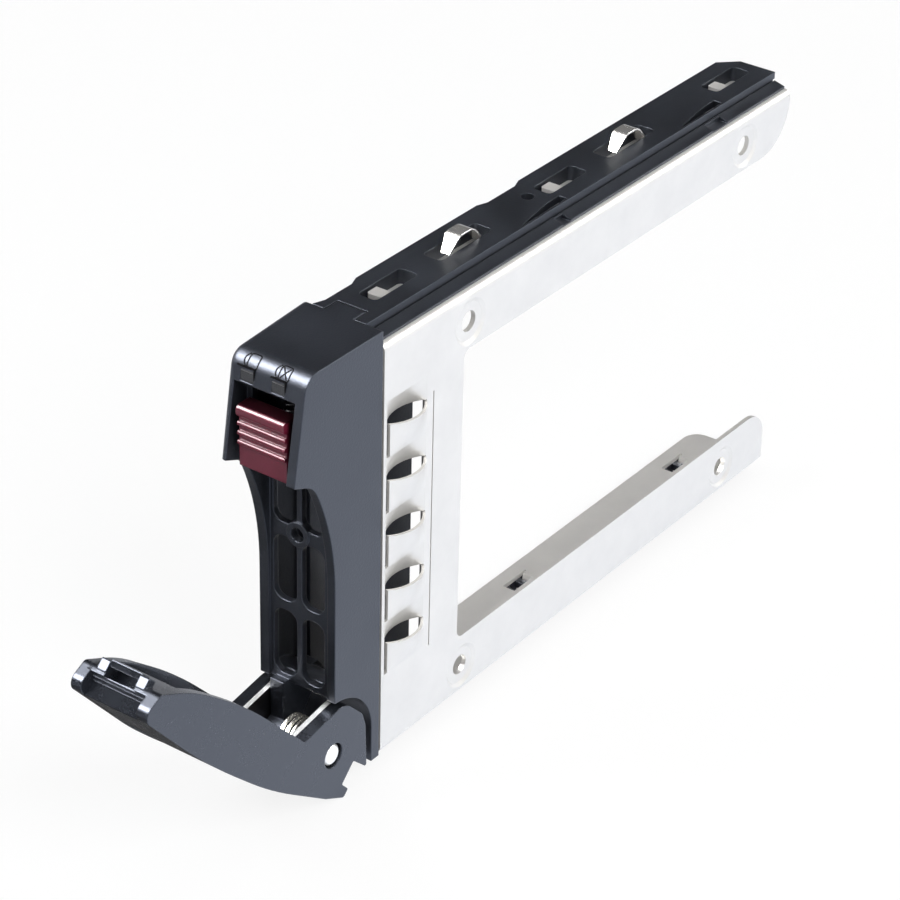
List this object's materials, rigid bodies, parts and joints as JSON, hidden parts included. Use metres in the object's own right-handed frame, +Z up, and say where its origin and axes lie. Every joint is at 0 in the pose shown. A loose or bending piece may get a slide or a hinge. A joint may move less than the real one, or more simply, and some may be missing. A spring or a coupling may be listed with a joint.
{
  "type": "hot swap drive caddy",
  "caption": "Steel channel tray that carries a small drive by its side holes, with a moulded bezel, a sprung ejector lever, a release button and slide rails.",
  "frame": {"origin": "centre of the four drive screw holes, on the seat plane that the drive's side lies against", "axes": "+X out through the perforated side of the channel, +Y from the bezel to the rear, +Z up towards the top rail"},
  "size_m": [0.0168, 0.1641, 0.0792],
  "materials": {
    "channel_steel": "satin galvanised sheet",
    "bezel_plastic": "fine matte",
    "lever_plastic": "fine matte",
    "button_plastic": "satin maroon",
    "rail_plastic": "fine matte",
    "bracket_steel": "satin",
    "pin_steel": "turned",
    "spring_steel": "bright",
    "screw_steel": "bright",
    "light_pipe": "clear moulded"
  },
  "bodies": {
    "tray": {"drive_frame": "channel_steel", "bezel": "bezel_plastic", "lever_pin": "pin_steel", "lever_spring": "spring_steel", "button_spring": "spring_steel", "top_rail": "rail_plastic", "bottom_rail": "rail_plastic", "top_spring_front": "spring_steel", "top_spring_rear": "spring_steel", "light_pipe_left": "light_pipe", "light_pipe_right": "light_pipe", "rail_screw_top": "screw_steel", "rail_screw_bottom": "screw_steel"},
    "lever": {"lever_grip": "lever_plastic", "lever_bracket": "bracket_steel"},
    "button": {"release_button": "button_plastic"}
  },
  "joints": [
    {"name": "lever_hinge", "type": "hinge", "parent": "tray", "child": "lever", "pos_m": [0, -0.07083, -0.02957], "axis": [-1, 0, 0], "range_deg": [0, 43], "stiffness_Nm_per_rad": 0.02, "springref_deg": -17.19, "deforming": ["lever_spring"]},
    {"name": "button_slide", "type": "slide", "parent": "tray", "child": "button", "axis": [0, 0, 1], "range_m": [0, 0.0025], "stiffness_N_per_m": 400, "springref_m": -0.001, "deforming": ["button_spring"]}
  ]
}
